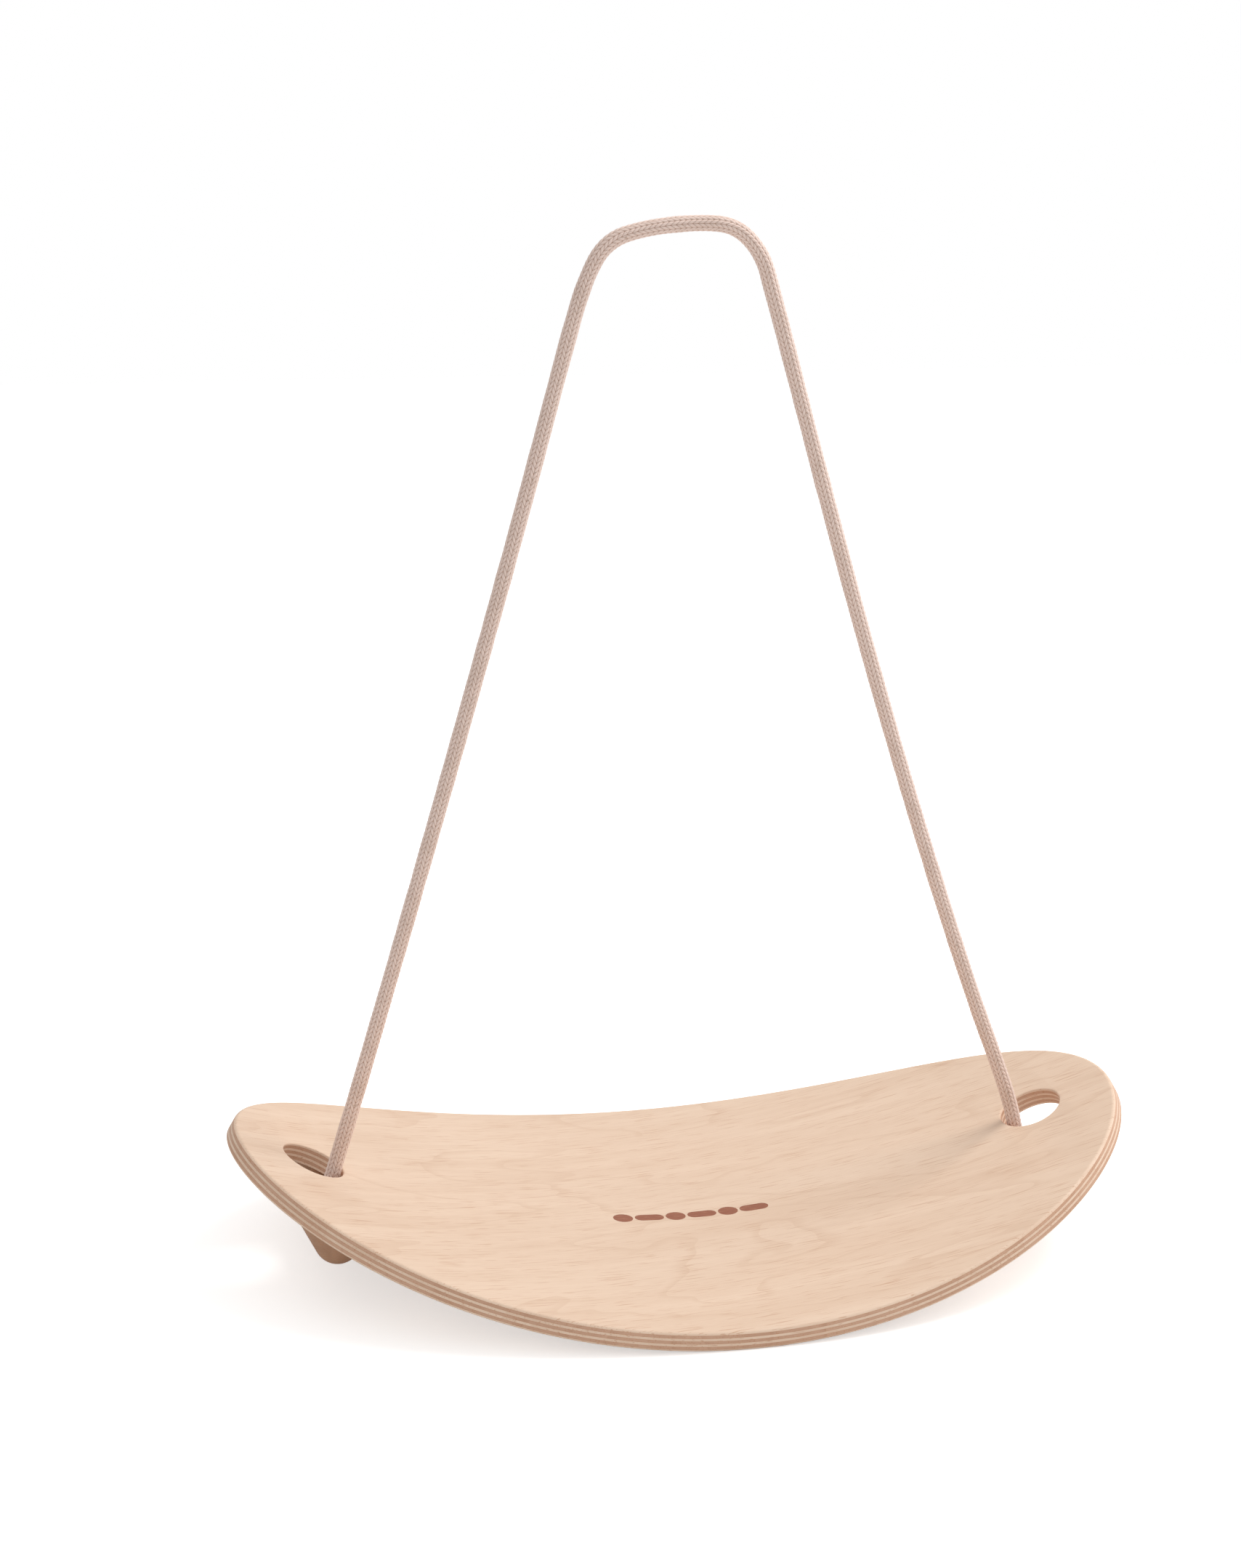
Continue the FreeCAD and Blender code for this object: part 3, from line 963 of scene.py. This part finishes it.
# ---- the rope
@dataclass
class RopeLoop:
    """The braided rope, from the left toggle up over the grip and down to the right toggle."""

    # The route's points (x, z) in the plane y = 0, and the rope's real length.
    route: tuple = (
        (-0.2883, 0.0363), (-0.2768, 0.0740), (-0.2670, 0.1050), (-0.2456, 0.1750), (-0.2099, 0.2940),
        (-0.1652, 0.4460), (-0.1239, 0.5900), (-0.0922, 0.7060), (-0.0785, 0.7520), (-0.0625, 0.7805),
        (-0.0315, 0.7900), (0.0080, 0.7935), (0.0365, 0.7910), (0.0565, 0.7700), (0.0645, 0.7425),
        (0.0765, 0.7020), (0.0993, 0.6220), (0.1395, 0.4850), (0.1875, 0.3330), (0.2385, 0.1850),
        (0.2685, 0.1085), (0.2795, 0.0740), (0.2872, 0.0360),
    )
    length: float = 1.67
    stitch: float = 0.0042
    relief: float = 0.0007
    around: int = 60
    rings_per_stitch: int = 4
    curve_steps: int = 40
    sunk: float = 0.8  # the share of the relief that lies under the rope's nominal surface
    wander: float = 0.00010
    wander_points: int = 160
    seed: int = 7
    shade_degrees: float = 75
    swing_height: float = 0.074

    def centreline(self) -> np.ndarray:
        """The smooth line of the route, at even steps.

        Returns:
            Rows of points.
        """
        curve = bpy.data.curves.new("rope_route", "CURVE")
        curve.dimensions = "3D"
        curve.resolution_u = self.curve_steps
        spline = curve.splines.new("NURBS")
        spline.points.add(len(self.route) - 1)
        for point, (x, z) in zip(spline.points, self.route):
            point.co = (x, 0, z, 1)
        spline.use_endpoint_u = True
        spline.order_u = 3
        holder = bpy.data.objects.new("rope_route", curve)
        bpy.context.collection.objects.link(holder)
        bpy.context.view_layer.update()
        line = coordinates(bpy.data.meshes.new_from_object(holder))
        bpy.data.objects.remove(holder, do_unlink=True)
        gone = np.concatenate(([0], np.cumsum(np.linalg.norm(np.diff(line, axis=0), axis=1))))
        count = int(gone[-1] / self.stitch * self.rings_per_stitch)
        even = np.linspace(0, gone[-1], count)
        return np.column_stack([np.interp(even, gone, line[:, axis]) for axis in range(3)])

    def stitches(self, turn: np.ndarray, gone: np.ndarray) -> np.ndarray:
        """How high the braid stands: 1 on a stitch's crown, 0 between stitches.

        Args:
            turn: Place around the rope, 0 to 1.
            gone: Place along the rope, in metres.

        Returns:
            The height, over a grid of rings and places around.
        """
        column = turn[None, :] * BRAID_COLUMNS
        number = np.floor(column)
        across = column - number - 0.5
        lean = np.where(number % 2 == 0, 1.0, -1.0)
        along = gone[:, None] / self.stitch + lean * across * BRAID_LEAN
        phase = along - np.floor(along) - 0.5
        body = 1 - np.abs(2 * phase) ** BRAID_ALONG_POWER
        return body * (1 - np.abs(2 * across) ** BRAID_AROUND_POWER)

    def map_braid(self, mesh: bpy.types.Mesh, gone: np.ndarray) -> None:
        """Give the tube the map that its finish reads: around the rope, and stitches along it.

        Args:
            mesh: The tube.
            gone: Distance of each ring along the rope.
        """
        corners = np.empty(len(mesh.loops), dtype=np.int32)
        mesh.loops.foreach_get("vertex_index", corners)
        starts = np.empty(len(mesh.polygons), dtype=np.int32)
        mesh.polygons.foreach_get("loop_start", starts)
        step = corners % self.around
        first = np.minimum.reduceat(step, starts)
        last = np.maximum.reduceat(step, starts)
        sizes = np.diff(np.append(starts, len(corners)))
        over_seam = np.repeat((first == 0) & (last == self.around - 1), sizes)
        turn = np.where(over_seam & (step == 0), self.around, step) / self.around
        layer = mesh.uv_layers.new(name="braid")
        places = np.column_stack((turn, gone[corners // self.around] / self.stitch))
        layer.data.foreach_set("uv", places.astype(np.float32).ravel())

    def build(self, material: bpy.types.Material) -> bpy.types.Object:
        """Make the braided tube.

        Args:
            material: The cotton's finish.

        Returns:
            The rope.
        """
        line = self.centreline()
        steps = np.linalg.norm(np.diff(line, axis=0), axis=1)
        gone = np.concatenate(([0], np.cumsum(steps)))
        ahead = np.gradient(line, axis=0)
        ahead /= np.linalg.norm(ahead, axis=1)[:, None]
        across = np.array((0.0, 1.0, 0.0))
        out = np.cross(ahead, across)
        turn = np.arange(self.around) / self.around
        crown = self.stitches(turn, gone)
        noise = np.random.default_rng(self.seed)
        marks = np.linspace(0, gone[-1], self.wander_points)
        wander = np.interp(gone, marks, noise.normal(0, self.wander, self.wander_points))
        reach = ROPE_RADIUS - self.sunk * self.relief + self.relief * crown + wander[:, None]
        angle = 2 * math.pi * turn
        points = (
            line[:, None, :]
            + reach[:, :, None] * np.cos(angle)[None, :, None] * out[:, None, :]
            + reach[:, :, None] * np.sin(angle)[None, :, None] * across[None, None, :]
        ).reshape(-1, 3)
        rope = lofted("braided_rope", points, self.around)
        self.map_braid(rope.data, gone)
        smooth_by_angle(rope, self.shade_degrees)
        dress(rope, material)
        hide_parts("rope_loop", "rope_tail_left", "rope_tail_right")
        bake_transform(rope)
        log.info("rope: %.3f m, %d points", gone[-1], len(rope.data.vertices))
        return rope

    def declare(self) -> None:
        line = self.centreline()


# ---- printed mark
@dataclass
class PrintedMark:
    """A plain brown band of dots and bars, printed on the upper face."""

    centre: tuple = (0.004, -0.012)
    dot_radius: float = 0.0080
    bar_reach: float = 0.0060
    bar_half_width: float = 0.0058
    pitch: float = 0.0215
    shapes: int = 6
    ink_height: float = 0.00006
    corner_steps: int = 12
    cut_pitch: float = 0.004
    cut_offset: float = 0.00031  # keeps a cut off the outlines' own points

    def outline(self, number: int) -> list[tuple[float, float]]:
        """The outline of one shape of the band: a dot, or a bar with round ends.

        Args:
            number: 0 for the left shape.

        Returns:
            The outline's points on the flat panel.
        """
        middle = self.centre[0] + (number - (self.shapes - 1) / 2) * self.pitch
        dot = number % 2 == 0
        round_off = self.dot_radius if dot else self.bar_half_width
        reach = 0.0 if dot else self.bar_reach
        points = []
        for step in range(2 * self.corner_steps + 2):
            half = 1 if step <= self.corner_steps else -1
            turn = math.pi * (step - (step > self.corner_steps)) / self.corner_steps - math.pi / 2
            x = middle + half * reach + round_off * math.cos(turn)
            points.append((x, self.centre[1] + round_off * math.sin(turn)))
        return points

    def build(self, material: bpy.types.Material) -> bpy.types.Object:
        """Lay the band out flat, give it the ink's thickness and bend it with the panel.

        Args:
            material: The ink's finish.

        Returns:
            The band.
        """
        net = bmesh.new()
        for number in range(self.shapes):
            net.faces.new([net.verts.new((x, y, 0.0)) for x, y in self.outline(number)])
        mesh = bpy.data.meshes.new("printed_band")
        net.to_mesh(mesh)
        net.free()
        band = bpy.data.objects.new("printed_band", mesh)
        bpy.context.collection.objects.link(band)
        recalculated(band)
        bpy.ops.object.mode_set(mode="EDIT")
        count = int(self.pitch * self.shapes / 2 / self.cut_pitch) + 1
        for step in range(-count, count + 1):
            bpy.ops.mesh.select_all(action="SELECT")
            place = step * self.cut_pitch + self.cut_offset
            bpy.ops.mesh.bisect(plane_co=(place, 0, 0), plane_no=(1, 0, 0))
        bpy.ops.mesh.select_all(action="SELECT")
        bpy.ops.mesh.extrude_region_move(TRANSFORM_OT_translate={"value": (0, 0, self.ink_height)})
        bpy.ops.object.mode_set(mode="OBJECT")
        recalculated(band)
        bend_mesh(band)
        dress(band, material)
        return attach(band, "board")


# ---- camera and room
@dataclass
class Studio:
    """The camera, the pale floor and the soft lights.

    The floor's glow and the surround's full white are seen by the camera only, and light nothing.
    """

    azimuth: float = -0.2128
    elevation: float = 0.2378
    roll: float = 0.0033
    distance: float = 2.283
    slide_right: float = -0.0481
    slide_up: float = 0.3418
    lens: float = 65.3
    sensor_width: float = 36.0
    floor_size: float = 14
    floor_glow: float = 0.52
    surround_light: float = 0.63
    surround_seen: float = 1.0
    aim: tuple = (0, 0, 0.25)

    def camera(self) -> None:
        """Place the camera, which looks down on the board from its front left."""
        data = bpy.data.cameras.new("camera")
        camera = bpy.data.objects.new("camera", data)
        bpy.context.collection.objects.link(camera)
        turn = (
            Matrix.Rotation(self.azimuth, 4, "Z")
            @ Matrix.Rotation(math.pi / 2 - self.elevation, 4, "X")
            @ Matrix.Rotation(self.roll, 4, "Z")
        )
        offset = Vector((self.slide_right, self.slide_up, self.distance))
        place = turn.to_3x3() @ offset + Vector((0, 0, PANEL_THICKNESS))
        camera.matrix_world = Matrix.Translation(place) @ turn
        data.sensor_fit = "AUTO"
        data.sensor_width = self.sensor_width
        data.lens = self.lens
        bpy.context.scene.camera = camera

    def floor(self) -> None:
        """Lay the pale floor."""
        bpy.ops.object.select_all(action="DESELECT")
        bpy.ops.mesh.primitive_plane_add(size=self.floor_size)
        floor = settle(bpy.context.object, "floor")
        made, graph, shader = new_material("pale_floor")
        seen = graph.add("LightPath").outputs["Is Camera Ray"]
        glow = graph.maths("MULTIPLY", seen, self.floor_glow)
        graph.fill(shader, {"Base Color": (0.9, 0.9, 0.9, 1), "Roughness": 0.9, "Specular IOR Level": 0.0})
        graph.fill(shader, {"Emission Color": (1, 1, 1, 1), "Emission Strength": glow})
        dress(floor, made)

    def lights(self) -> None:
        """Hang a large key and a low edge light to the right, and set the white surround."""
        self.area("key", (1.5, 0.2, 2.6), 1.5, 47.0)
        self.area("edge_light", (2.4, 0.5, 1.1), 0.8, 11.0)
        world = bpy.data.worlds.new("surround")
        world.use_nodes = True
        graph = Graph(world.node_tree)
        seen = graph.add("LightPath").outputs["Is Camera Ray"]
        backdrop = graph.spread(seen, 0.0, 1.0, self.surround_light, self.surround_seen)
        background = world.node_tree.nodes["Background"]
        graph.fill(background, {"Color": (1, 1, 1, 1), "Strength": backdrop})
        bpy.context.scene.world = world
        bpy.context.scene.view_settings.view_transform = "Standard"

    def area(self, name: str, place: tuple, size: float, power: float) -> None:
        """Hang one soft light that faces the board.

        Args:
            name: Its name.
            place: Where it hangs.
            size: Its side, in metres.
            power: Its power, in watts.
        """
        data = bpy.data.lights.new(name, "AREA")
        data.shape = "SQUARE"
        data.size = size
        data.energy = power
        lamp = bpy.data.objects.new(name, data)
        lamp.location = place
        lamp.rotation_euler = (Vector(self.aim) - Vector(place)).to_track_quat("-Z", "Y").to_euler()
        bpy.context.collection.objects.link(lamp)


def build_feet(material: bpy.types.Material) -> None:
    """Build the four feet at the places of their nodes.

    Args:
        material: The wood's finish.
    """
    for end in ("front", "rear"):
        for side in Side:
            corner = f"{end}_{side.name.lower()}"
            low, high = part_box(f"foot_{corner}")
            foot = TurnedFoot(corner, side.value * FOOT_X, (low[1] + high[1]) / 2, low[2])
            foot.build(material)
            log.info("%s", foot.corner)


def main() -> None:
    """Build the room, the rope and every other piece."""
    studio = Studio()
    studio.camera()
    rope = RopeLoop()
    braid = rope.build(RopeFinish().material())

    grain = wood_grain_group()
    face = WoodFinish(
        "long_grain", (0.825, 0.625, 0.475, 1), (0.68, 0.465, 0.325, 1), laid_flat=True, glue_lines=True
    ).material(grain)
    cross = WoodFinish(
        "cross_grain", (0.65, 0.405, 0.28, 1), (0.49, 0.27, 0.17, 1), grain=Grain.ACROSS, seed=3.0,
        laid_flat=True, glue_lines=True, roughness=0.6,
    ).material(grain)
    # The turned wood's colours are darkened well below the panel's to paint in the shade that falls on the
    # feet and toggles under the board.
    turned_wood_with_painted_shade = WoodFinish(
        "turned", (0.50, 0.285, 0.175, 1), (0.34, 0.17, 0.10, 1), grain=Grain.ACROSS, seed=7.0
    ).material(grain)
    BentPanel().build({Grain.ALONG: face, Grain.ACROSS: cross})
    build_feet(turned_wood_with_painted_shade)
    ends = {Side.LEFT: rope.route[:2], Side.RIGHT: rope.route[:-3:-1]}
    for side, (low, high) in ends.items():
        line = (Vector((low[0], 0, low[1])), Vector((high[0], 0, high[1])))
        RopeToggle(side).build(turned_wood_with_painted_shade, line)
    rope.declare()
    PrintedMark().build(PrintFinish().material())

    steel = SteelFinish().material()
    for name in ("foot_screws", "toggle_pin_left", "toggle_pin_right"):
        dress(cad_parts[name], steel)
    studio.floor()
    studio.lights()


if __name__ == "__main__":
    main()
